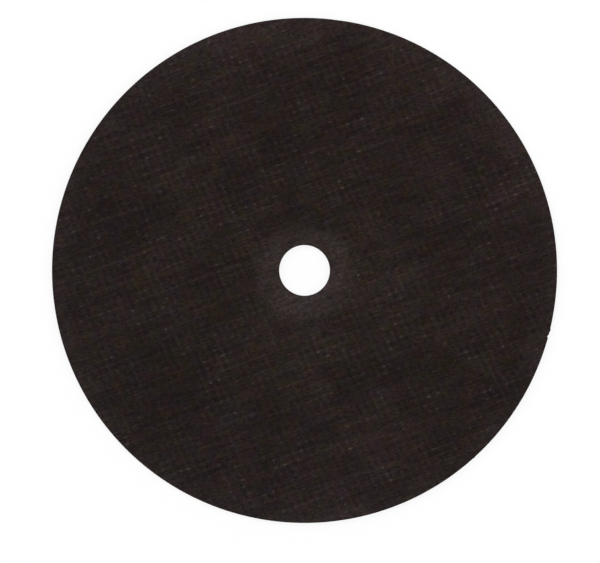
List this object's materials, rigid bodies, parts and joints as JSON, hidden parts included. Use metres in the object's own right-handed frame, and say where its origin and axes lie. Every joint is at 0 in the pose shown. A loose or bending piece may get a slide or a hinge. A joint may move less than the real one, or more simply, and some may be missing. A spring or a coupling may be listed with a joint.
{
  "type": "cut-off wheel",
  "caption": "Thin flat abrasive disc with a plain round arbor bore and woven mesh pressed into its faces, clamped between flanges on a spindle to cut metal.",
  "frame": {"origin": "on the bore's axis, at the lower face that the wheel lies on", "axes": "+Z along the bore's axis towards the upper face, +X and +Y in the plane of the lower face"},
  "size_m": [0.254, 0.254, 0.0024],
  "materials": {
    "bonded_abrasive": "dull brown-black resin-bonded grain with woven glass mesh showing"
  },
  "bodies": {
    "root": {"wheel": "bonded_abrasive"}
  },
  "joints": []
}
